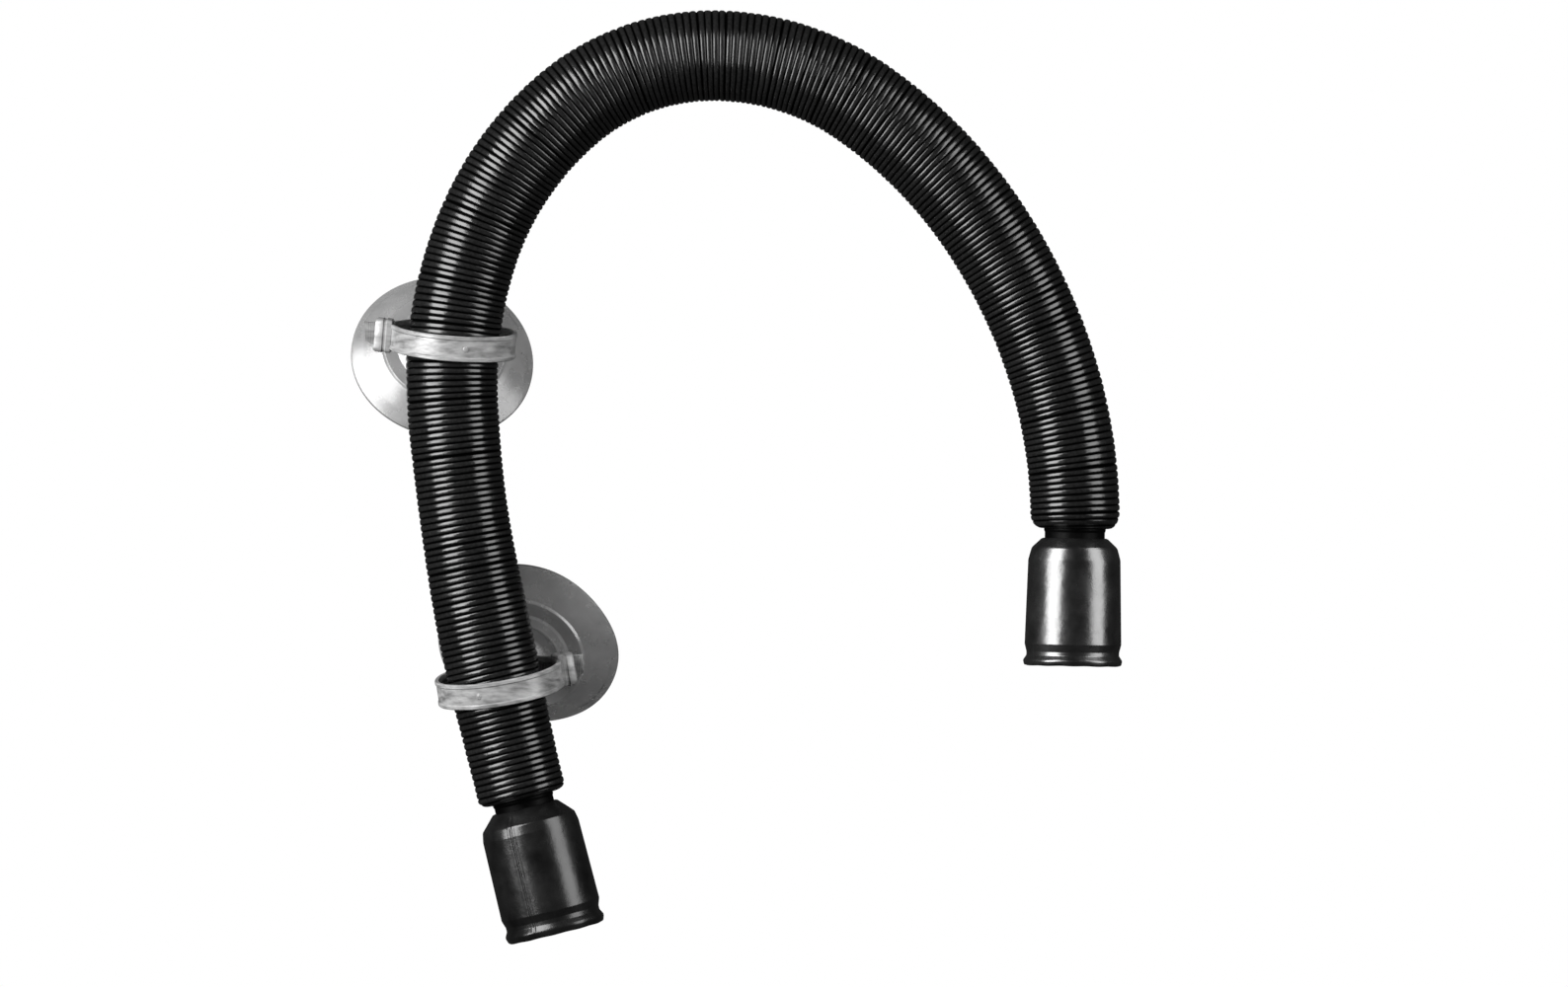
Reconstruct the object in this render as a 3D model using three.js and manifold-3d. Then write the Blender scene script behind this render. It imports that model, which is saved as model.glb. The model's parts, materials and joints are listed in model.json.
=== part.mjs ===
// Flexible snorkel tube: a close-wound spiral hose that keeps the bend it is given, a collar and a
// swivelling cuff on each end, and two suction cups, each tied behind the hose with a loose cable tie.
// Units are millimetres and +Z is up. The hose bends in an upright plane, and the cups stand behind
// it, on the +Y side. The origin is the centre of the upper cup's face.

import * as THREE from 'three';
import { mergeVertices } from 'three/addons/utils/BufferGeometryUtils.js';
import Module from 'manifold-3d';

const wasm = await Module();
wasm.setup();

// Hose: outer radius, bore and the route. The route starts at the wall end and is a run of arcs,
// one for each link that bends on the next: its length, and how far it turns about +Y, in degrees.
const HOSE_R = 16;
const HOSE_BORE_R = 13;
const HOSE_SIDES = 16;
const ARC_STEP = 18;
const FIRST_LEAN = -14;
const ROUTE = [
  { length: 76, bend: 3 },
  { length: 65, bend: 7 },
  { length: 61, bend: 24 },
  { length: 57, bend: 29 },
  { length: 57, bend: 41 },
  { length: 57, bend: 35 },
  { length: 58, bend: 20 },
  { length: 58, bend: 17 },
  { length: 60, bend: 19 },
];

// Where one link bends on the next, a ball end turns inside a socket end. Both are centred on the
// pivot, so the ends clear each other at any angle.
const BALL_R = 17.2;
const SOCKET_R = 17.9;
const BALL_BACK = 13;

// End collar: a sleeve inside the hose, a narrow neck, and a bead that the cuff turns on.
const SLEEVE_R = 12.1;
const SLEEVE_LENGTH = 11;
const SLEEVE_TAPER_START = 0.4;
const COLLAR_BORE_R = 9;
const NECK_R = 10.8;
const NECK_START = 1.6;
const NECK_LENGTH = 7.6;
const BEAD_R = 12.6;
const BEAD_WIDTH = 3;
const BEAD_CHAMFER = 0.6;

// Cuff: a steep shoulder, a slightly tapered body, a groove and a lip, then a socket open at the
// mouth. Distances are measured outward from the end of the hose.
const CUFF_START = 3.8;
const CUFF_NECK_R = 11.9;
const SHOULDER_EDGE_R = 15.4;
const SHOULDER_EDGE = 7.4;
const SHOULDER_END_R = 16.5;
const SHOULDER_END = 11.2;
const CUFF_BODY_R = 17.3;
const CUFF_BODY_END = 41.5;
const CUFF_GROOVE_R = 16.5;
const CUFF_GROOVE_START = 43.6;
const CUFF_GROOVE_END = 45;
const CUFF_LIP_R = 17.8;
const CUFF_LIP = 46.8;
const CUFF_MOUTH_R = 17.2;
const CUFF_END = 48.8;
const CUFF_SOCKET_R = 14.6;
const SOCKET_WEB = 2.2;
const RUNNING_GAP = 0.35;

// Suction cup: profile heights are measured from its face, towards the hose.
const CUP_R = 32.9;
const CUP_LIP_WIDTH = 2.3;
const CUP_EDGE = 1.5;
const CUP_SHOULDER_R = 22.5;
const CUP_SHOULDER_H = 8.4;
const CUP_STEP_R = 16.5;
const CUP_STEP_H = 10.4;
const CUP_RIM_SLOPE_WIDTH = 2.6;
const CUP_RIM_SLOPE_HEIGHT = 1.6;
const CUP_HOLLOW_H = 7;
const CUP_HOLLOW_STEP_R = 12.5;
const CUP_HOLLOW_STEP_H = 6.2;
const CUP_HOLLOW_EDGE_H = 4;
const KNOB_R = 7.6;
const KNOB_ROOT_H = 11.6;
const KNOB_ROOT_FLARE = 1.1;
const KNOB_TOP_H = 26.4;
const KNOB_CROWN_R = 4.2;
const KNOB_CROWN_DROP = 0.5;
const KNOB_EDGE_DROP = 3;
const EYE_R = 5.4;
const EYE_H = 19.5;

// Cable tie: a band larger than the hose, its square head, and the cut tail that comes out of it.
const TIE_R = 22;
const TIE_THICKNESS = 1.5;
const TIE_WIDTH = 9;
const HEAD_WIDTH = 12;
const HEAD_LENGTH = 8.5;
const HEAD_HEIGHT = 6.2;
const HEAD_LIFT = 0.2;
const TAIL_LENGTH = 4;
const TAIL_ROOT_DEPTH = 0.5;
const TAIL_TIP_WIDTH = 7;
const TIE_HOSE_GAP = 1.7;

// Each holder: the link it is on, how far along that link, how far its knob is turned round the
// hose, how far the back of the loop is raised, how the loop rolls, where the head sits round the
// loop, and how far the cup tilts on the tie. Angles are in degrees.
const UPPER_HOLDER = { link: 2, along: 24.5, turn: 7.5, raise: 8, roll: -2, head: 82, cupTilt: 37 };
const LOWER_HOLDER = { link: 0, along: 42, turn: -16, raise: 8, roll: 6, head: -56, cupTilt: -17 };

const degrees = THREE.MathUtils.degToRad;
const X = new THREE.Vector3(1, 0, 0);
const Y = new THREE.Vector3(0, 1, 0);
const Z = new THREE.Vector3(0, 0, 1);

const hosePlastic = new THREE.MeshStandardMaterial({ color: 0x101011, roughness: 0.32, metalness: 0 });
const collarPlastic = new THREE.MeshStandardMaterial({ color: 0x0b0b0c, roughness: 0.5, metalness: 0 });
const cuffRubber = new THREE.MeshStandardMaterial({ color: 0x161617, roughness: 0.4, metalness: 0 });
const cupVinyl = new THREE.MeshStandardMaterial({ color: 0x8d8f91, roughness: 0.25, metalness: 0 });
const tieNylon = new THREE.MeshStandardMaterial({ color: 0xb9bab8, roughness: 0.4, metalness: 0 });

function toSolid(geometry) {
  const plain = geometry.clone();
  plain.deleteAttribute('normal');
  plain.deleteAttribute('uv');
  const merged = mergeVertices(plain, 1e-4);
  return new wasm.Manifold(new wasm.Mesh({
    numProp: 3,
    vertProperties: new Float32Array(merged.attributes.position.array),
    triVerts: new Uint32Array(merged.index.array),
  }));
}

function toGeometry(solid) {
  const mesh = solid.getMesh();
  const geometry = new THREE.BufferGeometry();
  geometry.setAttribute('position', new THREE.BufferAttribute(mesh.vertProperties, 3));
  geometry.setIndex(new THREE.BufferAttribute(mesh.triVerts, 1));
  geometry.computeVertexNormals();
  return geometry;
}

function namedMesh(name, geometry, material) {
  const mesh = new THREE.Mesh(geometry, material);
  mesh.name = name;
  return mesh;
}

function ringPoints(radius, sides) {
  return Array.from({ length: sides }, (_, i) => {
    const angle = (i * 2 * Math.PI) / sides;
    return new THREE.Vector2(radius * Math.cos(angle), radius * Math.sin(angle));
  });
}

// A closed profile of [radius, height] pairs turned about the local Z axis.
function turned(profile, sides) {
  const points = [...profile, profile[0]].map(([r, h]) => new THREE.Vector2(r, h));
  return new THREE.LatheGeometry(points, sides).rotateX(Math.PI / 2);
}

// A link starts at the local origin heading along +Z and turns about +Y. Behind its start it runs
// straight back, which is where its ball end is cut from.
class LinkPath extends THREE.Curve {
  constructor({ length, bend }, back) {
    super();
    this.length = length;
    this.curvature = degrees(bend) / length;
    this.back = back;
  }

  getPoint(t, target = new THREE.Vector3()) {
    const s = t * (this.length + this.back) - this.back;
    if (s < 0) return target.set(0, 0, s);
    const turn = this.curvature * s;
    return target.set((1 - Math.cos(turn)) / this.curvature, 0, Math.sin(turn) / this.curvature);
  }
}

function placeOnLink(object, arc, along) {
  new LinkPath(arc, 0).getPoint(along / arc.length, object.position);
  object.rotation.y = (degrees(arc.bend) * along) / arc.length;
  return object;
}

function ball(radius, centre) {
  return toSolid(new THREE.SphereGeometry(radius, 20, 12).translate(centre.x, centre.y, centre.z));
}

function hoseLink(index) {
  const arc = ROUTE[index];
  const isFirst = index === 0;
  const isLast = index === ROUTE.length - 1;
  const path = new LinkPath(arc, isFirst ? 0 : BALL_BACK);
  const section = new THREE.Shape(ringPoints(HOSE_R, HOSE_SIDES));
  section.holes.push(new THREE.Path(ringPoints(HOSE_BORE_R, HOSE_SIDES)));
  const steps = Math.round((arc.length + path.back) / ARC_STEP);
  let solid = toSolid(new THREE.ExtrudeGeometry(section, {
    steps, extrudePath: path, bevelEnabled: false,
  }));
  if (!isFirst) {
    const behind = new THREE.BoxGeometry(4 * HOSE_R, 4 * HOSE_R, 2 * BALL_BACK)
      .translate(0, 0, -BALL_BACK);
    const offcut = toSolid(behind).subtract(ball(BALL_R, new THREE.Vector3()));
    solid = solid.subtract(offcut);
  }
  if (!isLast) solid = solid.subtract(ball(SOCKET_R, path.getPoint(1)));
  const name = `hose_link_${String(index + 1).padStart(2, '0')}`;
  return namedMesh(name, toGeometry(solid), hosePlastic);
}

// Collars and cuffs point away from the hose along their own +Z.
function endCollar(name) {
  const beadStart = NECK_LENGTH;
  const beadEnd = beadStart + BEAD_WIDTH;
  return namedMesh(name, turned([
    [COLLAR_BORE_R, -SLEEVE_LENGTH],
    [SLEEVE_R, -SLEEVE_LENGTH],
    [SLEEVE_R, SLEEVE_TAPER_START],
    [NECK_R, NECK_START],
    [NECK_R, beadStart],
    [BEAD_R, beadStart + BEAD_CHAMFER],
    [BEAD_R, beadEnd - BEAD_CHAMFER],
    [NECK_R, beadEnd],
    [COLLAR_BORE_R, beadEnd],
  ], 24), collarPlastic);
}

function cuff(name) {
  const grooveStart = NECK_LENGTH - RUNNING_GAP;
  const grooveEnd = NECK_LENGTH + BEAD_WIDTH + RUNNING_GAP;
  const neckHoleR = NECK_R + RUNNING_GAP;
  const grooveR = BEAD_R + RUNNING_GAP;
  const socketStart = grooveEnd + SOCKET_WEB;
  return namedMesh(name, turned([
    [CUFF_NECK_R, CUFF_START],
    [SHOULDER_EDGE_R, SHOULDER_EDGE],
    [SHOULDER_END_R, SHOULDER_END],
    [CUFF_BODY_R, CUFF_BODY_END],
    [CUFF_GROOVE_R, CUFF_GROOVE_START],
    [CUFF_GROOVE_R, CUFF_GROOVE_END],
    [CUFF_LIP_R, CUFF_LIP],
    [CUFF_MOUTH_R, CUFF_END],
    [CUFF_SOCKET_R, CUFF_END],
    [CUFF_SOCKET_R, socketStart],
    [NECK_R, socketStart],
    [NECK_R, grooveEnd],
    [grooveR, grooveEnd],
    [grooveR, grooveStart],
    [neckHoleR, grooveStart],
    [neckHoleR, CUFF_START],
  ], 28), cuffRubber);
}

// The cup's face looks along its own +Z and its knob stands on the back. The local origin is the
// middle of the knob's eye, so the cup tilts on the tie about its own X axis.
function suctionCup(name) {
  const height = (h) => EYE_H - h;
  const profile = [
    [0, height(CUP_HOLLOW_H)],
    [0, height(KNOB_TOP_H)],
    [KNOB_CROWN_R, height(KNOB_TOP_H - KNOB_CROWN_DROP)],
    [KNOB_R, height(KNOB_TOP_H - KNOB_EDGE_DROP)],
    [KNOB_R, height(KNOB_ROOT_H + KNOB_ROOT_FLARE)],
    [KNOB_R + KNOB_ROOT_FLARE, height(KNOB_ROOT_H)],
    [CUP_STEP_R, height(CUP_STEP_H)],
    [CUP_SHOULDER_R, height(CUP_SHOULDER_H)],
    [CUP_R - CUP_RIM_SLOPE_WIDTH, height(CUP_EDGE + CUP_RIM_SLOPE_HEIGHT)],
    [CUP_R, height(CUP_EDGE)],
    [CUP_R, height(0)],
    [CUP_R - CUP_LIP_WIDTH, height(0)],
    [CUP_SHOULDER_R, height(CUP_HOLLOW_EDGE_H)],
    [CUP_HOLLOW_STEP_R, height(CUP_HOLLOW_STEP_H)],
  ];
  const eye = new THREE.CylinderGeometry(EYE_R, EYE_R, 4 * KNOB_R, 20).rotateZ(Math.PI / 2);
  const solid = toSolid(turned(profile, 32)).subtract(toSolid(eye));
  return namedMesh(name, toGeometry(solid), cupVinyl);
}

// The band lies round its own Z axis with the knob's eye at +Y. The head sits at an angle from +Y
// round the band, with the tail standing out through it.
function cableTie(name, headAngle) {
  const innerR = TIE_R - TIE_THICKNESS / 2;
  const outerR = TIE_R + TIE_THICKNESS / 2;
  const half = TIE_WIDTH / 2;
  const band = turned([[innerR, -half], [outerR, -half], [outerR, half], [innerR, half]], 40);
  const head = new THREE.BoxGeometry(HEAD_LENGTH, HEAD_HEIGHT, HEAD_WIDTH)
    .translate(0, innerR + HEAD_HEIGHT / 2 + HEAD_LIFT, 0)
    .rotateZ(headAngle);
  const tailStart = innerR + HEAD_HEIGHT - TAIL_ROOT_DEPTH;
  const outline = new THREE.Shape([
    new THREE.Vector2(tailStart, -half),
    new THREE.Vector2(tailStart + TAIL_LENGTH, -TAIL_TIP_WIDTH / 2),
    new THREE.Vector2(tailStart + TAIL_LENGTH, TAIL_TIP_WIDTH / 2),
    new THREE.Vector2(tailStart, half),
  ]);
  const tail = new THREE.ExtrudeGeometry(outline, { depth: TIE_THICKNESS, bevelEnabled: false })
    .translate(0, 0, -TIE_THICKNESS / 2)
    .rotateX(Math.PI / 2)
    .rotateZ(Math.PI / 2 + headAngle);
  const solid = toSolid(band).add(toSolid(head)).add(toSolid(tail));
  return namedMesh(name, toGeometry(solid), tieNylon);
}

function holder(side, { link, along, turn, raise, roll, head, cupTilt }) {
  const onHose = placeOnLink(new THREE.Group(), ROUTE[link], along);
  onHose.rotateOnAxis(Z, degrees(turn));
  const tie = cableTie(`cable_tie_${side}`, degrees(head));
  const hoseOffset = TIE_R - TIE_THICKNESS / 2 - HOSE_R - TIE_HOSE_GAP;
  tie.position.set(0, hoseOffset, 0);
  tie.rotateOnAxis(Y, degrees(roll));
  tie.rotateOnAxis(X, degrees(raise));
  const cup = suctionCup(`suction_cup_${side}`);
  cup.position.set(0, TIE_R, 0);
  cup.rotateOnAxis(X, degrees(-90 - cupTilt));
  tie.add(cup);
  onHose.add(tie);
  return onHose;
}

function endFitting(side) {
  const group = new THREE.Group();
  group.add(endCollar(`end_collar_${side}`), cuff(`cuff_${side}`));
  return group;
}

const snorkelTube = new THREE.Group();
const hose = new THREE.Group();
hose.rotation.y = degrees(FIRST_LEAN);
snorkelTube.add(hose);

const links = [];
let frame = hose;
ROUTE.forEach((arc, index) => {
  links.push(frame);
  frame.add(hoseLink(index));
  const next = placeOnLink(new THREE.Group(), arc, arc.length);
  frame.add(next);
  frame = next;
});

const wallEnd = endFitting('wall');
wallEnd.rotation.x = Math.PI;
hose.add(wallEnd);
frame.add(endFitting('free'));

const upperHolder = holder('upper', UPPER_HOLDER);
links[UPPER_HOLDER.link].add(upperHolder);
links[LOWER_HOLDER.link].add(holder('lower', LOWER_HOLDER));

snorkelTube.updateMatrixWorld(true);
const faceCentre = new THREE.Vector3(0, 0, EYE_H)
  .applyMatrix4(upperHolder.getObjectByName('suction_cup_upper').matrixWorld);
hose.position.sub(faceCentre);
snorkelTube.updateMatrixWorld(true);

export default snorkelTube;
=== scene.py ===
"""Looks of the flexible snorkel tube: ribbed hose, rubber cuffs, vinyl suction cups, nylon ties."""
import json
import math

import bmesh
import bpy
import numpy as np
from mathutils import Matrix, Vector


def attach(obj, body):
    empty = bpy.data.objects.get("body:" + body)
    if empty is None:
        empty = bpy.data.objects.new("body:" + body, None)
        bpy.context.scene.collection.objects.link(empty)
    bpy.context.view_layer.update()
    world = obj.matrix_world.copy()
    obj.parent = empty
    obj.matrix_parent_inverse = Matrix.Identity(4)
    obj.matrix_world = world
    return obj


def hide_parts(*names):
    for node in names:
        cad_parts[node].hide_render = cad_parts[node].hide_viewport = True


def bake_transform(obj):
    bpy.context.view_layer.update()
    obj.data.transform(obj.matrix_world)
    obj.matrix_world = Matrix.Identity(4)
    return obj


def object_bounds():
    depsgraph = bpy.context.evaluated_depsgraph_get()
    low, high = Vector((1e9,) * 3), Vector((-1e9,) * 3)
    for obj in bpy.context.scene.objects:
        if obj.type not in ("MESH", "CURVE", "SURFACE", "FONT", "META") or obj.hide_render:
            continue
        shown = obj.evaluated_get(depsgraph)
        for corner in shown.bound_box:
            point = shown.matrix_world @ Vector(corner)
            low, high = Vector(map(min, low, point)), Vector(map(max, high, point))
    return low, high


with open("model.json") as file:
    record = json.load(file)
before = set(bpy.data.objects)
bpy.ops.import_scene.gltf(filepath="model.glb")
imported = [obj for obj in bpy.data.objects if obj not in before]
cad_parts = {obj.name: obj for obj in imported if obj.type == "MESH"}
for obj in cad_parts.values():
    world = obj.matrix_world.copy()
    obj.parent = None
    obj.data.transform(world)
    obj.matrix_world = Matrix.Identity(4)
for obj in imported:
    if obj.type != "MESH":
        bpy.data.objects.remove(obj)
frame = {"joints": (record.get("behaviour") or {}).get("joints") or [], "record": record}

MM = 0.001
CAD_BOX = [list(corner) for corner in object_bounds()]
JOINTS = {joint["name"]: joint for joint in frame["joints"]}
MOUNTS = {mount["name"]: mount for mount in frame["record"]["mounts"]}
RANDOM = np.random.default_rng(7)

# Hose: outer radius at the rib tops before it swells, bore, and the winding.
HOSE_R = 16.0 * MM
HOSE_BORE_R = 13.0 * MM
LINK_COUNT = 9
RIB_PITCH = 2.23 * MM
RIB_DEPTH = 0.45 * MM
RIB_SQUARENESS = 3.4
RIB_STEPS = 10
RIB_SIDES = 72
RIB_COUNT = 260
RIB_UNEVEN = RANDOM.uniform(-1, 1, RIB_COUNT)
RIB_SKEW = RANDOM.uniform(-1, 1, RIB_COUNT)
GROOVE_GAPE = np.where(RANDOM.random(RIB_COUNT) < 0.08, 1.0, 0.25 * RANDOM.random(RIB_COUNT))
BORE_ROWS = 10
# An inset from the middle of each link, from which a section's end points are worked out; nothing uses
# those points.
BLEND_INSET = 7 * MM
# The point attribute that holds how far a point stands above the groove.
RIB_HEIGHT = "rib_height"
# At each end the last turns curl in: over what length, and by how much.
END_CURL = {"wall": (2.8 * MM, 3.6 * MM), "free": (5.8 * MM, 4.1 * MM)}

# Suction cup and cable tie, in millimetres.
EYE_HEIGHT = 19.5
EYE_R = 5.4
KNOB_R = 7.6
CUP_R = 32.9
TIE_R = 22.0
TIE_THICKNESS = 1.5
TIE_WIDTH = 9.0
TIE_HOSE_GAP = 1.7
HEAD_HEIGHT = 6.4
TAIL_LENGTH = 4.0
TIE_HEAD_ANGLE = {"upper": 82, "lower": -56}
TOOTH_COUNT = 110


# ---------------------------------------------------------------- materials

def node_material(name):
    material = bpy.data.materials.new(name)
    material.use_nodes = True
    tree = material.node_tree
    return material, tree, tree.nodes["Principled BSDF"]


def noise(tree, scale, detail=3.0, roughness=0.5, stretch=None):
    """Object-space noise. Scale is in features per metre, stretch divides it along each axis."""
    coordinates = tree.nodes.new("ShaderNodeTexCoord").outputs["Object"]
    if stretch is not None:
        mapping = tree.nodes.new("ShaderNodeMapping")
        mapping.inputs["Scale"].default_value = stretch
        tree.links.new(coordinates, mapping.inputs["Vector"])
        coordinates = mapping.outputs["Vector"]
    node = tree.nodes.new("ShaderNodeTexNoise")
    node.inputs["Scale"].default_value = scale
    node.inputs["Detail"].default_value = detail
    node.inputs["Roughness"].default_value = roughness
    tree.links.new(coordinates, node.inputs["Vector"])
    return node.outputs["Fac"]


def ramp(tree, value, low, high, start=0.3, end=0.7):
    node = tree.nodes.new("ShaderNodeMapRange")
    node.inputs["From Min"].default_value = start
    node.inputs["From Max"].default_value = end
    node.inputs["To Min"].default_value = low
    node.inputs["To Max"].default_value = high
    tree.links.new(value, node.inputs["Value"])
    return node.outputs["Result"]


def grey_between(tree, factor, dark, light):
    node = tree.nodes.new("ShaderNodeMix")
    node.data_type = "RGBA"
    node.inputs["A"].default_value = (dark, dark, dark, 1)
    node.inputs["B"].default_value = (light, light, light, 1)
    tree.links.new(factor, node.inputs["Factor"])
    return node.outputs["Result"]


def bump(tree, shader, heights, distance):
    """Chains bumps, each a (height output, strength) pair."""
    normal = None
    for height, strength in heights:
        node = tree.nodes.new("ShaderNodeBump")
        node.inputs["Strength"].default_value = strength
        node.inputs["Distance"].default_value = distance
        tree.links.new(height, node.inputs["Height"])
        if normal is not None:
            tree.links.new(normal, node.inputs["Normal"])
        normal = node.outputs["Normal"]
    tree.links.new(normal, shader.inputs["Normal"])


def hose_material():
    """Black plasticised PVC: polished rib tops with a little dust and scuffing. The grooves are painted
    near black and reflect less, as painted shade.
    """
    material, tree, shader = node_material("hose_pvc")
    scuff = noise(tree, 1100.0, 4.0, 0.6)
    patch = noise(tree, 90.0, 3.0, 0.5)
    rib = tree.nodes.new("ShaderNodeAttribute")
    rib.attribute_name = RIB_HEIGHT
    height = rib.outputs["Fac"]
    # Painted shade: the colour falls to near black towards the bottom of each groove.
    groove_shade_mask = ramp(tree, height, 0.0, 1.0, 0.45, 0.95)
    worn = grey_between(tree, ramp(tree, scuff, 0.0, 1.0, 0.4, 0.8), 0.0035, 0.009)
    shade = tree.nodes.new("ShaderNodeMix")
    shade.data_type = "RGBA"
    shade.inputs["A"].default_value = (0.0004, 0.0004, 0.0004, 1)
    tree.links.new(worn, shade.inputs["B"])
    tree.links.new(groove_shade_mask, shade.inputs["Factor"])
    tree.links.new(shade.outputs["Result"], shader.inputs["Base Color"])
    tree.links.new(ramp(tree, patch, 0.16, 0.3), shader.inputs["Roughness"])
    # Painted shade in the reflections too: they weaken towards the grooves.
    tree.links.new(ramp(tree, height, 0.03, 0.32, 0.45, 0.95), shader.inputs["Specular IOR Level"])
    bump(tree, shader, [(noise(tree, 420.0, 2.0), 0.25), (scuff, 0.08)], 0.0003)
    return material


def collar_material():
    material, tree, shader = node_material("collar_plastic")
    grain = noise(tree, 700.0, 3.0)
    # Painted shade: the collar is black plastic, painted darker still and given hardly any reflection,
    # for the shadow that the hose end and the cuff's shoulder cast on it.
    tree.links.new(grey_between(tree, grain, 0.0002, 0.0008), shader.inputs["Base Color"])
    tree.links.new(ramp(tree, grain, 0.4, 0.55), shader.inputs["Roughness"])
    shader.inputs["Specular IOR Level"].default_value = 0.03
    bump(tree, shader, [(grain, 0.2)], 0.0002)
    return material


def rubber_material(name, gloss):
    """Soft black moulded rubber: patches of bloom, faint dents in the gloss and a fine grain."""
    material, tree, shader = node_material(name)
    bloom = noise(tree, 90.0, 4.0, 0.6)
    dents = noise(tree, 330.0, 2.0)
    grain = noise(tree, 2500.0, 2.0)
    tree.links.new(grey_between(tree, ramp(tree, bloom, 0.0, 1.0), 0.0015, 0.005),
                   shader.inputs["Base Color"])
    tree.links.new(ramp(tree, bloom, 0.22, 0.31), shader.inputs["Roughness"])
    shader.inputs["Specular IOR Level"].default_value = gloss
    bump(tree, shader, [(noise(tree, 60.0, 2.0), 0.5), (dents, 0.14), (grain, 0.04)], 0.0005)
    return material


def vinyl_material():
    """Clear soft vinyl gone slightly smoky: it lets light through but blurs what is behind."""
    material, tree, shader = node_material("cup_vinyl")
    haze = noise(tree, 55.0, 5.0, 0.65)
    tree.links.new(grey_between(tree, ramp(tree, haze, 0.0, 1.0), 0.15, 0.23),
                   shader.inputs["Base Color"])
    tree.links.new(ramp(tree, haze, 0.2, 0.32), shader.inputs["Roughness"])
    shader.inputs["Transmission Weight"].default_value = 0.5
    shader.inputs["IOR"].default_value = 1.5
    bump(tree, shader, [(noise(tree, 120.0, 1.0), 0.16), (noise(tree, 900.0, 1.0), 0.012)], 0.0006)
    return material


def nylon_material():
    """Natural nylon: milky, with streaks where the moulding is thinner and clearer."""
    material, tree, shader = node_material("tie_nylon")
    streaks = noise(tree, 130.0, 3.0, 0.6, stretch=(1, 1, 4))
    tree.links.new(grey_between(tree, ramp(tree, streaks, 0.0, 1.0), 0.08, 0.3),
                   shader.inputs["Base Color"])
    tree.links.new(ramp(tree, streaks, 0.42, 0.28), shader.inputs["Roughness"])
    shader.inputs["Transmission Weight"].default_value = 0.3
    shader.inputs["IOR"].default_value = 1.53
    bump(tree, shader, [(noise(tree, 700.0, 2.0), 0.2)], 0.0003)
    return material


# ---------------------------------------------------------------- mesh helpers

def new_piece(name, vertices, faces, material, sharp_angle):
    mesh = bpy.data.meshes.new(name)
    mesh.from_pydata([tuple(v) for v in vertices], [], faces)
    mesh.update()
    piece = bpy.data.objects.new(name, mesh)
    bpy.context.scene.collection.objects.link(piece)
    mesh.materials.append(material)
    mesh.polygons.foreach_set("use_smooth", [True] * len(mesh.polygons))
    mesh.set_sharp_from_angle(angle=math.radians(sharp_angle))
    return piece


def rounded(outline, steps=6):
    """A closed outline of [radius, height, rounding] corners as plain points."""
    points = []
    count = len(outline)
    for i in range(count):
        before, corner, after = (np.array(outline[(i + k) % count][:2], float) for k in (-1, 0, 1))
        rounding = outline[i][2]
        if rounding <= 0:
            points.append(corner)
            continue
        back, ahead = before - corner, after - corner
        length_back, length_ahead = np.linalg.norm(back), np.linalg.norm(ahead)
        back, ahead = back / length_back, ahead / length_ahead
        half = math.acos(max(-1.0, min(1.0, float(back @ ahead)))) / 2
        reach = min(rounding / math.tan(half), 0.48 * length_back, 0.48 * length_ahead)
        start, end = corner + back * reach, corner + ahead * reach
        for k in range(steps + 1):
            t = k / steps
            points.append((1 - t) ** 2 * start + 2 * t * (1 - t) * corner + t * t * end)
    return points


def revolve(outline, sides, place, warp=None):
    """An outline in millimetres turned about the local Z axis, warped there, and put in place."""
    vertices, faces = [], []
    rows = len(outline)
    for i in range(sides):
        angle = 2 * math.pi * i / sides
        for radius, height in outline:
            point = Vector((radius * math.cos(angle), radius * math.sin(angle), height))
            if warp is not None:
                point = warp(point, angle)
            vertices.append(place @ (point * MM))
    for i in range(sides):
        for j in range(rows):
            a, b = i * rows + j, i * rows + (j + 1) % rows
            c, d = (a + rows) % (sides * rows), (b + rows) % (sides * rows)
            faces.append((a, c, d, b))
    return vertices, faces


def loft(rings, place):
    """Rings of the same number of points, in millimetres, joined in turn and closed at both ends."""
    count = len(rings[0])
    vertices = [place @ (Vector(point) * MM) for ring in rings for point in ring]
    faces = [tuple(range(count))[::-1]]
    for k in range(len(rings) - 1):
        for i in range(count):
            a, b = k * count + i, k * count + (i + 1) % count
            faces.append((a, b, b + count, a + count))
    last = (len(rings) - 1) * count
    faces.append(tuple(range(last, last + count)))
    return vertices, faces


def tidy_mesh(piece):
    """Merges doubled points and turns every face outward."""
    working = bmesh.new()
    working.from_mesh(piece.data)
    bmesh.ops.remove_doubles(working, verts=working.verts, dist=1e-7)
    bmesh.ops.recalc_face_normals(working, faces=working.faces)
    working.to_mesh(piece.data)
    working.free()


def frame_matrix(origin, x_axis, y_axis, z_axis):
    matrix = Matrix.Identity(4)
    for column, vector in enumerate((x_axis, y_axis, z_axis, origin)):
        for row in range(3):
            matrix[row][column] = vector[row]
    return matrix


# ---------------------------------------------------------------- hose

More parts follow.
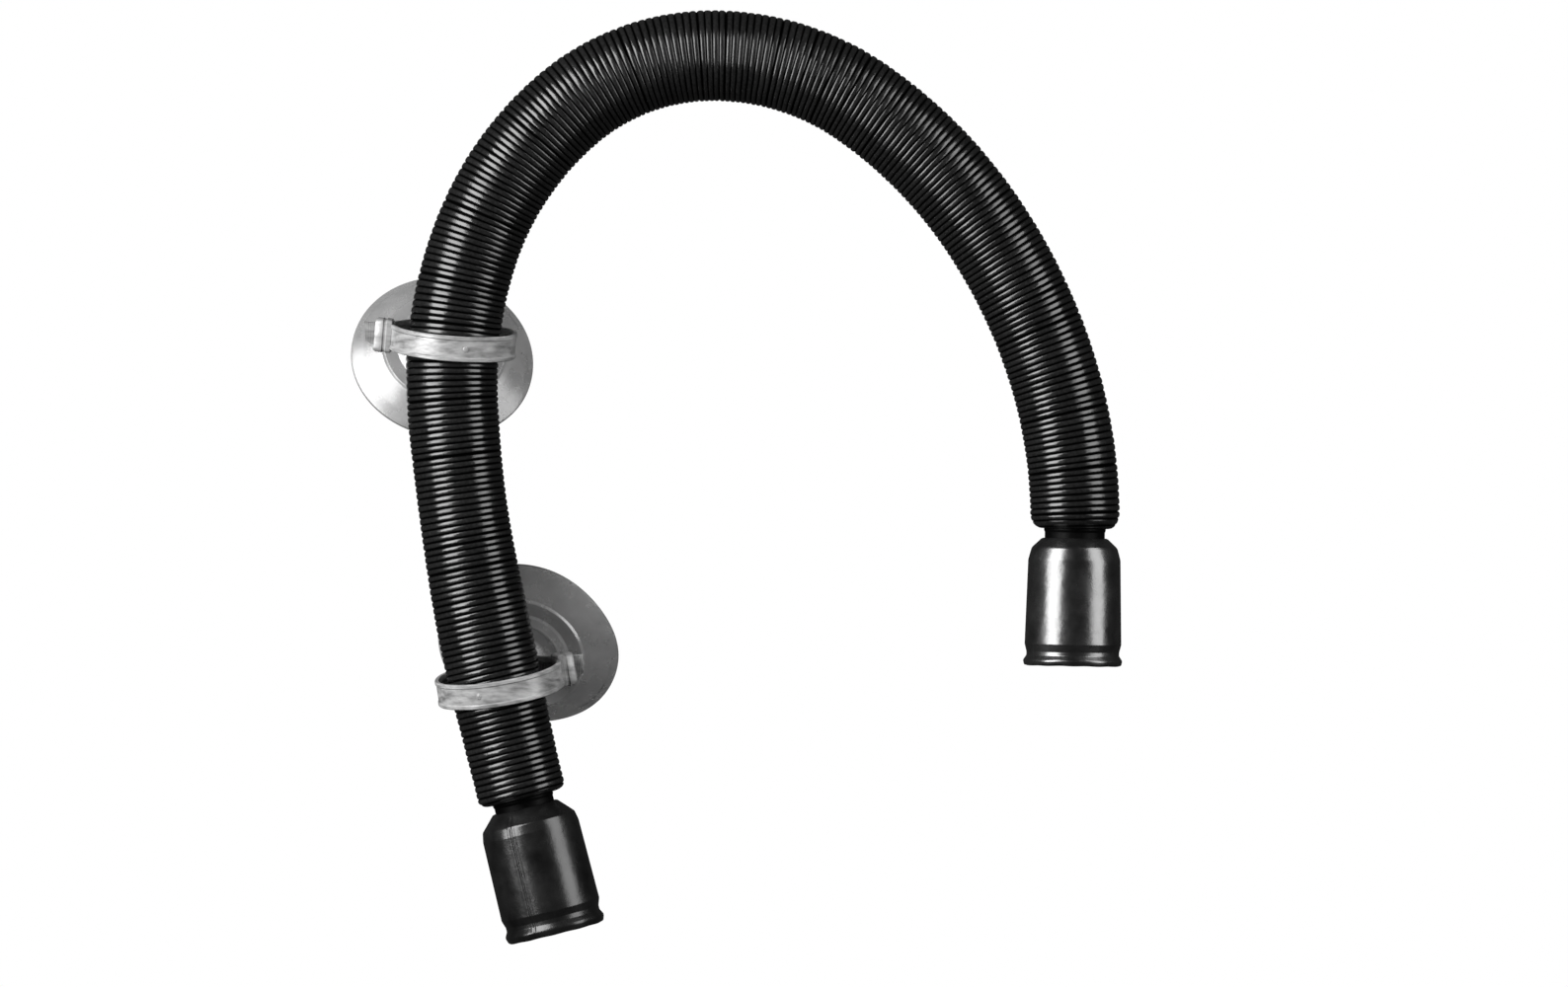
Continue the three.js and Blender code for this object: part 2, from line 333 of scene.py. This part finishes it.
def route():
    """The hose's centreline as arcs: for each link, its start, its heading there (an angle about
    +Y from +Z), its length and its turn. The arcs join the hinges' pivots smoothly."""
    wall, free = JOINTS["cuff_swivel_wall"], JOINTS["cuff_swivel_free"]
    stops = [wall["pos_m"]]
    stops += [JOINTS[f"bend_{i:02d}_{i + 1:02d}"]["pos_m"] for i in range(1, LINK_COUNT)]
    stops.append(free["pos_m"])
    heading = math.atan2(-wall["axis"][0], -wall["axis"][2])
    arcs = []
    for start, end in zip(stops, stops[1:]):
        dx, dz = end[0] - start[0], end[2] - start[2]
        turn = 2 * (math.atan2(dx, dz) - heading)
        chord = math.hypot(dx, dz)
        length = chord * (turn / 2) / math.sin(turn / 2)
        arcs.append((Vector(start), heading, length, turn))
        heading += turn
    return arcs


ARCS = route()
STARTS = np.cumsum([0.0] + [arc[2] for arc in ARCS])
HOSE_LENGTH = STARTS[-1]


def on_route(distance):
    """Centreline points and headings at an array of distances along the hose."""
    s = np.atleast_1d(np.asarray(distance, float))
    index = np.clip(np.searchsorted(STARTS, s, side="right") - 1, 0, len(ARCS) - 1)
    points = np.zeros((len(s), 3))
    headings = np.zeros(len(s))
    for k, (start, heading, length, turn) in enumerate(ARCS):
        here = index == k
        run = s[here] - STARTS[k]
        curvature = turn / length
        angle = heading + curvature * run
        points[here, 0] = start[0] + (np.cos(heading) - np.cos(angle)) / curvature
        points[here, 1] = start[1]
        points[here, 2] = start[2] + (np.sin(angle) - np.sin(heading)) / curvature
        headings[here] = angle
    return points, headings


def hose_points(s, around, radius):
    centre, heading = on_route(s)
    side = np.stack([np.cos(heading), np.zeros_like(heading), -np.sin(heading)], 1)
    points = centre + side * (radius * np.cos(around))[:, None]
    points[:, 1] += radius * np.sin(around)
    return points


def rib_shape(turns, around):
    """How far the surface stands above the groove's bottom, from 0 to about 1. Ribs are rounded
    with narrow grooves. Each differs a little from the next, and a few grooves gape."""
    rib = np.floor(turns).astype(int)
    across = 2 * np.mod(turns, 1.0) - 1
    crown = 1 - np.abs(across) ** RIB_SQUARENESS
    skew = 0.16 * RIB_SKEW[rib] * across * (1 - across ** 2)
    slow = np.sin(1.7 * turns + 2.0 * np.sin(around + 0.37 * turns))
    ripple = np.sin(0.61 * turns + 3.0 * around)
    shape = (crown + skew) * (1 + 0.07 * RIB_UNEVEN[rib] + 0.04 * slow + 0.03 * ripple)
    nearest = np.rint(turns).astype(int)
    gape = GROOVE_GAPE[nearest] * np.exp(-((turns - nearest) / 0.24) ** 2)
    return shape - 0.5 * gape


def swell(s):
    """The hose isn't quite the same width all along: the wall leg bulges twice, and it narrows a
    little towards the free end."""
    share = s / HOSE_LENGTH
    bulges = 0.5 * np.cos(10.2 * math.pi * (share - 0.105)) * np.clip(1.5 - 3.6 * share, 0, 1)
    return MM * (0.3 + bulges - 0.35 * share ** 2)


def end_fall(s):
    """How far the outer surface drops towards each end, where the last turns curl in."""
    fall = np.zeros_like(s)
    for inset, (run, drop) in ((s, END_CURL["wall"]), (HOSE_LENGTH - s, END_CURL["free"])):
        share = np.clip(1 - inset / run, 0, 1)
        fall += drop * (1 - np.sqrt(1 - share ** 2))
    return fall


def outer_radius(turn, share):
    s = turn * RIB_PITCH
    fall = end_fall(s)
    depth = RIB_DEPTH * np.clip(1 - 0.7 * fall / (3 * MM), 0.3, 1)
    return HOSE_R + swell(s) - fall - depth * (1 - rib_shape(turn - share, 2 * math.pi * share))


def hose_grid(first, last):
    """The outer surface between two rows of the winding's grid. Returns each point's turn and its
    share of the way round, the faces, and a function that numbers a grid point. The grid follows
    the helix, and past the hose's own ends it is held back so that it ends square."""
    turns, around, index, faces = [], [], {}, []
    last_turn = HOSE_LENGTH / RIB_PITCH
    edge = RIB_SIDES - 1

    def vertex(row, column):
        turn = row / RIB_STEPS + column / RIB_SIDES
        key = (row, column)
        if turn <= 0:
            turn, key = 0.0, ("start", column)
        if turn >= last_turn:
            turn, key = last_turn, ("end", column)
        if key not in index:
            index[key] = len(turns)
            turns.append(turn)
            around.append(column / RIB_SIDES)
        return index[key]

    def face(*corners):
        kept = [c for i, c in enumerate(corners) if c != corners[i - 1]]
        if len(kept) > 2:
            faces.append(kept)

    for row in range(first, last):
        for column in range(edge):
            face(vertex(row, column), vertex(row, column + 1),
                 vertex(row + 1, column + 1), vertex(row + 1, column))
        lower = row - RIB_STEPS
        face(vertex(lower, edge), vertex(row, 0), vertex(row + 1, 0), vertex(lower + 1, edge))
    return np.array(turns), np.array(around), faces, vertex


def bore_rings(first, last, base):
    """Rings from one rim to the other, with one point for every column, numbered from base."""
    columns = np.arange(RIB_SIDES) / RIB_SIDES
    last_turn = HOSE_LENGTH / RIB_PITCH
    start_turn = np.clip(first / RIB_STEPS + columns, 0, last_turn)
    end_turn = np.clip(last / RIB_STEPS + columns, 0, last_turn)
    rings, faces = [], []
    for k in range(BORE_ROWS + 1):
        run = (start_turn + (end_turn - start_turn) * k / BORE_ROWS) * RIB_PITCH
        rings.append(hose_points(run, 2 * math.pi * columns, HOSE_BORE_R - 0.8 * end_fall(run)))
    for k in range(BORE_ROWS):
        for c in range(RIB_SIDES):
            a, b = base + k * RIB_SIDES + c, base + k * RIB_SIDES + (c + 1) % RIB_SIDES
            faces.append((a, a + RIB_SIDES, b + RIB_SIDES, b))
    return rings, faces


def rim_faces(vertex, row, ring_base):
    """Joins an outer rim to the bore. The rim's points on the step of the helix all join the last
    column's inner point."""
    edge = RIB_SIDES - 1
    rim = [vertex(row, c) for c in range(RIB_SIDES)]
    rim += [vertex(row - k, edge) for k in range(1, RIB_STEPS + 1)]
    rim = [v for i, v in enumerate(rim) if v != rim[i - 1]]
    faces = []
    for i, a in enumerate(rim):
        b = rim[(i + 1) % len(rim)]
        p = ring_base + min(i, edge)
        q = ring_base + (min(i + 1, edge) if i + 1 < len(rim) else 0)
        faces.append([a, b, q, p] if p != q else [a, b, p])
    return faces


def hose_section(name, first, last, material):
    """The hose wall between two turns of the winding. Its edges lie in the groove, so sections
    meet unseen."""
    turn, share, faces, vertex = hose_grid(first, last)
    outer = hose_points(turn * RIB_PITCH, 2 * math.pi * share, outer_radius(turn, share))
    base = len(outer)
    rings, bore_faces = bore_rings(first, last, base)
    faces += bore_faces
    faces += rim_faces(vertex, first, base)
    faces += rim_faces(vertex, last, base + BORE_ROWS * RIB_SIDES)
    points = np.concatenate([outer] + rings)
    piece = new_piece(name, points, faces, material, 60)
    height = np.zeros(len(points))
    height[:base] = rib_shape(turn - share, 2 * math.pi * share)
    piece.data.attributes.new(RIB_HEIGHT, "FLOAT", "POINT").data.foreach_set("value", height)
    tidy_mesh(piece)
    return piece


def build_hose(material):
    middles = [start + arc[2] / 2 for start, arc in zip(STARTS, ARCS)]
    cuts = [-1, *[round(m / RIB_PITCH) for m in middles], math.ceil(HOSE_LENGTH / RIB_PITCH)]
    bodies = [f"link_{i:02d}" for i in range(1, LINK_COUNT + 1)]
    for k in range(len(cuts) - 1):
        piece = hose_section(f"hose_section_{k + 1:02d}", cuts[k] * RIB_STEPS,
                             cuts[k + 1] * RIB_STEPS, material)
        if k == 0:
            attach(piece, bodies[0])
        elif k == len(cuts) - 2:
            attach(piece, bodies[-1])
        else:
            ends, _ = on_route([middles[k - 1] + BLEND_INSET, middles[k] - BLEND_INSET])
            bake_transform(piece)
        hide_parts(f"hose_link_{min(k + 1, LINK_COUNT):02d}")


# ---------------------------------------------------------------- collars and cuffs

def end_place(side):
    """The frame of an end fitting: Z points away from the hose, Y is the row's Y."""
    joint = JOINTS[f"cuff_swivel_{side}"]
    z_axis = Vector(joint["axis"]).normalized()
    y_axis = Vector((0, 1, 0))
    return frame_matrix(Vector(joint["pos_m"]), y_axis.cross(z_axis), y_axis, z_axis)


def build_collar(side, material):
    outline = [(9.0, -11.0, 0.4), (11.0, -11.0, 0.4), (11.0, 0.6, 0.3), (10.7, 1.4, 0.3),
               (10.7, 7.6, 0.2), (12.6, 8.0, 0.5), (12.6, 10.4, 0.5), (10.7, 10.6, 0.2),
               (9.0, 10.6, 0.5)]
    vertices, faces = revolve(rounded(outline), 96, end_place(side))
    piece = new_piece(f"collar_{side}", vertices, faces, material, 50)
    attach(piece, "link_01" if side == "wall" else "link_09")
    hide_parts(f"end_collar_{side}")


CUFF_OUTSIDE = {
    "wall": [(11.2, 3.2, 0.1), (11.9, 3.4, 0.5), (16.8, 8.6, 1.9), (17.5, 12.0, 2.0),
             (17.9, 40.8, 1.5), (17.0, 43.4, 0.9), (17.0, 44.9, 0.8), (18.1, 46.9, 1.6),
             (17.3, 49.4, 1.0)],
    "free": [(11.2, 3.4, 0.1), (11.9, 3.7, 0.6), (15.2, 6.8, 3.2), (16.4, 11.2, 4.0),
             (17.2, 41.2, 1.5), (16.5, 43.9, 0.8), (16.5, 45.2, 0.8), (17.7, 47.0, 1.2),
             (17.3, 48.8, 0.8)],
}
CUFF_INSIDE = [(14.6, 48.8, 0.8), (14.6, 13.2, 1.5), (10.8, 13.2, 0.5), (10.8, 10.95, 0.2),
               (12.95, 10.95, 0.2), (12.95, 7.25, 0.2), (11.05, 7.25, 0.2), (11.05, 3.8, 0.1)]
SEAM_ANGLE = {"wall": -68, "free": -165}


def build_cuff(side, material):
    seam_angle = math.radians(SEAM_ANGLE[side])

    def moulded(point, angle):
        """A parting groove between two faint ridges down opposite sides, and an uneven wall."""
        radius, height = math.hypot(point.x, point.y), point.z
        if radius < 15 or height < 6:
            return point
        offsets = [math.remainder(angle - seam_angle - half, 2 * math.pi) for half in (0, math.pi)]
        offset = min(offsets, key=abs) * radius
        ridges = 0.1 * math.exp(-((abs(offset) - 0.75) / 0.45) ** 2)
        seam = ridges - 0.22 * math.exp(-(offset / 0.3) ** 2)
        uneven = 0.05 * math.sin(3 * angle + 0.2 * height) * math.sin(0.16 * height + angle)
        rough_edge = 0.12 * math.sin(7 * angle + 1.3) * math.sin(4 * angle) if height > 46 else 0
        scale = 1 + (seam + uneven + rough_edge) / radius
        return Vector((point.x * scale, point.y * scale, height + rough_edge))

    profile = rounded(CUFF_OUTSIDE[side] + CUFF_INSIDE, 8)
    vertices, faces = revolve(profile, 300, end_place(side), moulded)
    piece = new_piece(f"rubber_cuff_{side}", vertices, faces, material, 60)
    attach(piece, f"cuff_{side}")
    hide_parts(f"cuff_{side}")


# ---------------------------------------------------------------- suction cups

def cup_place(side):
    """Z points out of the cup's face, X is the axis it tilts on, and the origin is its eye."""
    joint = JOINTS[f"cup_tilt_{side}"]
    x_axis = Vector(joint["axis"]).normalized()
    z_axis = Vector(MOUNTS[f"{side}_cup_lip"]["axis"]).normalized()
    return frame_matrix(Vector(joint["pos_m"]), x_axis, z_axis.cross(x_axis), z_axis)


CUP_OUTLINE = [
    (0.02, 26.4, 0), (4.2, 26.1, 3), (KNOB_R, 23.4, 2.5), (KNOB_R, 12.8, 1), (9.2, 11.4, 1.5),
    (13.2, 11.1, 0.5), (13.9, 11.4, 0.4), (14.6, 11.0, 0.5), (16.5, 10.2, 0.8), (17.4, 9.5, 0.5),
    (20.6, 9.3, 0.7), (22.0, 9.1, 0.5), (22.7, 8.1, 0.6), (24.6, 6.9, 0.8), (28.9, 3.9, 4),
    (32.0, 1.9, 0.7), (CUP_R, 1.3, 0.4), (CUP_R, 0.0, 0.4), (30.6, 0.0, 0.3), (30.0, 0.9, 1),
    (22.5, 4.2, 4), (12.5, 6.2, 4), (0.02, 7.0, 0),
]


def drill_eye(piece, place):
    """Cuts the eye across the knob, which the tie passes through."""
    bpy.ops.mesh.primitive_cylinder_add(vertices=48, radius=EYE_R * MM, depth=6 * KNOB_R * MM)
    cutter = bpy.context.object
    cutter.matrix_world = place @ Matrix.Rotation(math.pi / 2, 4, "Y")
    drill = piece.modifiers.new("eye", "BOOLEAN")
    drill.operation = "DIFFERENCE"
    drill.object = cutter
    bpy.context.view_layer.update()
    evaluated = piece.evaluated_get(bpy.context.evaluated_depsgraph_get())
    drilled = bpy.data.meshes.new_from_object(evaluated)
    piece.modifiers.clear()
    piece.data = drilled
    bpy.data.objects.remove(cutter)
    drilled.set_sharp_from_angle(angle=math.radians(40))


def build_cup(side, material):
    """A stepped disc with a thin skirt, and a knob on its back."""
    place = cup_place(side)
    sag = 0.35 if side == "upper" else 0.9

    def softened(point, angle):
        """The thin skirt is a little out of round and doesn't lie quite flat."""
        radius = math.hypot(point.x, point.y)
        share = max(0.0, (radius - 20) / (CUP_R - 20))
        spread = 1 + 0.012 * sag * share * math.sin(2 * angle + 0.8) + 0.008 * share * math.sin(3 * angle)
        lift = sag * share ** 2 * (math.sin(2 * angle - 0.5) + 0.4 * math.sin(5 * angle)) - 0.2 * share
        return Vector((point.x * spread, point.y * spread, point.z + lift))

    profile = [(r, EYE_HEIGHT - h) for r, h in rounded(CUP_OUTLINE)]
    vertices, faces = revolve(profile, 144, place, softened)
    piece = new_piece(f"vinyl_cup_{side}", vertices, faces, material, 60)
    tidy_mesh(piece)
    drill_eye(piece, place)
    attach(piece, f"cup_{side}")
    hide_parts(f"suction_cup_{side}")


# ---------------------------------------------------------------- cable ties

def tie_place(side):
    """Z is the band's axis, Y points from its centre to the cup's eye, X is the cup's tilt axis."""
    eye = Vector(JOINTS[f"cup_tilt_{side}"]["pos_m"])
    x_axis = Vector(JOINTS[f"cup_tilt_{side}"]["axis"]).normalized()
    on_hose = Vector(JOINTS[f"tie_turn_{side}"]["pos_m"])
    along_hose = Vector(JOINTS[f"tie_turn_{side}"]["axis"]).normalized()
    backward = along_hose.cross(x_axis).normalized()
    offset = (TIE_R - TIE_THICKNESS / 2 - TIE_HOSE_GAP) * MM - HOSE_R
    y_axis = (eye - on_hose - backward * offset).normalized()
    return frame_matrix(eye - y_axis * TIE_R * MM, x_axis, y_axis, x_axis.cross(y_axis))


def band_section(tooth):
    """The band's section as (distance from mid thickness, distance along the band's axis): two
    rails with a shallow track on the outside, and the ratchet's teeth on the inside."""
    edge = TIE_WIDTH / 2
    return [(0.5, -edge), (0.75, -4.25), (0.75, -3.3), (0.42, -2.9), (0.42, 2.9), (0.75, 3.3),
            (0.75, 4.25), (0.5, edge), (-0.55, edge), (-0.75, 4.2), (-0.75, 2.8),
            (-0.7 + tooth, 2.5), (-0.7 + tooth, -2.5), (-0.75, -2.8), (-0.75, -4.2), (-0.55, -edge)]


def build_band(side, place):
    steps = TOOTH_COUNT * 4
    vertices, faces = [], []
    for i in range(steps):
        angle = 2 * math.pi * i / steps
        tooth = (0.0, 0.12, 0.24, 0.36)[i % 4]
        slack = 0.18 * math.sin(3 * angle + 1.0) + 0.1 * math.sin(7 * angle)
        for offset, z in band_section(tooth):
            radius = TIE_R + offset + (slack if abs(angle - math.pi / 2) > 0.5 else 0)
            point = Vector((radius * math.cos(angle), radius * math.sin(angle), z)) * MM
            vertices.append(place @ point)
    count = len(band_section(0))
    for i in range(steps):
        for j in range(count):
            a, b = i * count + j, i * count + (j + 1) % count
            faces.append((a, (a + count) % len(vertices), (b + count) % len(vertices), b))
    return vertices, faces


def rounded_rectangle(half_x, half_z, corner, y, bend=0.0):
    """A ring of points round a rectangle at height y, moved sideways by bend."""
    ring = []
    for quarter, (sx, sz) in enumerate(((1, 1), (-1, 1), (-1, -1), (1, -1))):
        for k in range(5):
            angle = (quarter + k / 4) * math.pi / 2
            ring.append((sx * (half_x - corner) + corner * math.cos(angle) + bend, y,
                         sz * (half_z - corner) + corner * math.sin(angle)))
    return ring


def build_head(place):
    """The head, lofted outward, with the slot that the tail comes out of sunk in its top."""
    base = TIE_R - TIE_THICKNESS / 2 + 0.2
    top = base + HEAD_HEIGHT
    rings = [rounded_rectangle(3.7, 5.3, 1.2, base), rounded_rectangle(4.25, 5.9, 1.5, base + 0.5),
             rounded_rectangle(4.25, 6.0, 1.5, base + 2.2), rounded_rectangle(3.95, 5.7, 1.4, base + 2.6),
             rounded_rectangle(3.95, 5.7, 1.4, base + 3.2), rounded_rectangle(4.25, 6.0, 1.5, base + 3.6),
             rounded_rectangle(4.15, 5.9, 1.5, top - 0.7), rounded_rectangle(3.7, 5.4, 1.2, top),
             rounded_rectangle(1.9, 5.0, 0.5, top), rounded_rectangle(1.3, 4.8, 0.4, top - 0.5),
             rounded_rectangle(1.2, 4.75, 0.3, top - 3.0)]
    return loft(rings, place)


def build_tail(place):
    """The cut end of the band: it narrows, keeps its teeth, and bends a little."""
    root_depth = 2.2
    start = TIE_R - TIE_THICKNESS / 2 + HEAD_HEIGHT - root_depth
    reach = TAIL_LENGTH + root_depth
    rings = []
    steps = 40
    for k in range(steps + 1):
        share = k / steps
        tooth = 0.22 * (k % 4) / 3
        half_width = 4.4 - 1.0 * max(0.0, share - 0.25) / 0.75
        ring = rounded_rectangle(0.45 + tooth, half_width, 0.3, start + reach * share,
                                 bend=0.9 * share ** 2)
        slant = 0.5 * share
        rings.append([(x, y + slant * z / 4, z + 0.8 * share ** 2) for x, y, z in ring])
    return loft(rings, place)


def build_button(place, angle):
    """The small moulded pip on the outside of the band."""
    outline = [(0.02, 0.95, 0), (0.9, 0.85, 0.3), (1.15, 0.3, 0.2), (1.15, -0.2, 0), (0.02, -0.2, 0)]
    out = Matrix.Rotation(math.radians(angle), 4, "Z") @ Matrix.Translation((0, TIE_R * MM, 0))
    return revolve(rounded(outline), 24, place @ out @ Matrix.Rotation(-math.pi / 2, 4, "X"))


def build_tie(side, material):
    place = tie_place(side)
    at_head = place @ Matrix.Rotation(math.radians(TIE_HEAD_ANGLE[side]), 4, "Z")
    parts = {"band": build_band(side, place), "head": build_head(at_head), "tail": build_tail(at_head),
             "button": build_button(place, 187 if side == "upper" else 178)}
    for part, (vertices, faces) in parts.items():
        piece = new_piece(f"tie_{part}_{side}", vertices, faces, material, 35)
        tidy_mesh(piece)
        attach(piece, f"tie_{side}")
        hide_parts(f"cable_tie_{side}")


# ---------------------------------------------------------------- stage

def softbox(name, azimuth, elevation, distance, width, height, radiance, target):
    """A softbox that faces the target. Azimuth 0 is in front of the object, 90 to its right."""
    a, e = math.radians(azimuth), math.radians(elevation)
    direction = Vector((math.sin(a) * math.cos(e), -math.cos(a) * math.cos(e), math.sin(e)))
    light = bpy.data.lights.new(name, "AREA")
    light.shape = "RECTANGLE"
    light.size, light.size_y = width, height
    light.energy = radiance * math.pi * width * height
    lamp = bpy.data.objects.new(name, light)
    lamp.location = target + direction * distance
    lamp.rotation_mode = "QUATERNION"
    lamp.rotation_quaternion = direction.to_track_quat("Z", "Y")
    bpy.context.scene.collection.objects.link(lamp)


def glow_material(name, strength):
    material = bpy.data.materials.new(name)
    material.use_nodes = True
    nodes = material.node_tree.nodes
    nodes.clear()
    glow = nodes.new("ShaderNodeEmission")
    glow.inputs["Strength"].default_value = strength
    output = nodes.new("ShaderNodeOutputMaterial")
    material.node_tree.links.new(glow.outputs["Emission"], output.inputs["Surface"])
    return material


def build_lights(target):
    world = bpy.data.worlds.new("dim_grey")
    world.use_nodes = True
    world.node_tree.nodes["Background"].inputs["Color"].default_value = (1, 1, 1, 1)
    world.node_tree.nodes["Background"].inputs["Strength"].default_value = 0.035
    bpy.context.scene.world = world
    softbox("softbox_left", azimuth=-50, elevation=18, distance=1.6, width=1.05, height=1.75,
            radiance=20, target=target)
    softbox("softbox_right", azimuth=61, elevation=18, distance=1.7, width=0.95, height=1.85,
            radiance=9, target=target)


def build_dome(centre):
    """A white backdrop all round, which only the camera sees, directly or through the cups."""
    bpy.ops.mesh.primitive_uv_sphere_add(segments=48, ring_count=24, radius=9.0, location=centre)
    dome = bpy.context.object
    dome.name = "backdrop_dome"
    dome.data.materials.append(glow_material("white_backdrop", 1.0))
    dome.visible_diffuse = dome.visible_glossy = dome.visible_shadow = False


def build_floor(centre, height):
    bpy.ops.mesh.primitive_circle_add(vertices=96, radius=0.85, fill_type="NGON",
                                      location=(centre.x, centre.y, height))
    floor = bpy.context.object
    floor.name = "floor"
    pale, _, shader = node_material("pale_floor")
    shader.inputs["Base Color"].default_value = (0.85, 0.85, 0.85, 1)
    shader.inputs["Roughness"].default_value = 0.8
    shader.inputs["Emission Color"].default_value = (1, 1, 1, 1)
    shader.inputs["Emission Strength"].default_value = 0.3
    floor.data.materials.append(pale)
    floor.visible_glossy = floor.visible_diffuse = False


def build_stage():
    bpy.context.scene.view_settings.view_transform = "Standard"
    low, high = (Vector(corner) for corner in CAD_BOX)
    centre = (low + high) / 2
    build_lights(centre)
    build_dome(centre)
    build_floor(centre, low.z - 0.1)


def build_camera():
    """Level and straight on from the front, through a long lens, aimed between the two legs."""
    free_end = Vector(JOINTS["cuff_swivel_free"]["pos_m"])
    distance = 3.0
    view_width = 0.5584
    from_free_end = Vector((-0.1036, -distance, 0.0125))
    camera = bpy.data.cameras.new("camera")
    camera.sensor_width = 36
    camera.lens = camera.sensor_width * distance / view_width
    holder = bpy.data.objects.new("camera", camera)
    holder.location = free_end + from_free_end
    holder.rotation_euler = (math.pi / 2, 0, 0)
    bpy.context.scene.collection.objects.link(holder)
    bpy.context.scene.camera = holder


build_hose(hose_material())
collar = collar_material()
# Both cuffs are the same rubber. The wall cuff's weaker reflections are painted shade, for the dimmer
# light that its tilt catches.
rubber = {"wall": rubber_material("cuff_rubber_shaded_copy", gloss=0.3),
          "free": rubber_material("cuff_rubber", gloss=0.78)}
vinyl, nylon = vinyl_material(), nylon_material()
for end in ("wall", "free"):
    build_collar(end, collar)
    build_cuff(end, rubber[end])
for position in ("upper", "lower"):
    build_cup(position, vinyl)
    build_tie(position, nylon)
build_stage()
build_camera()
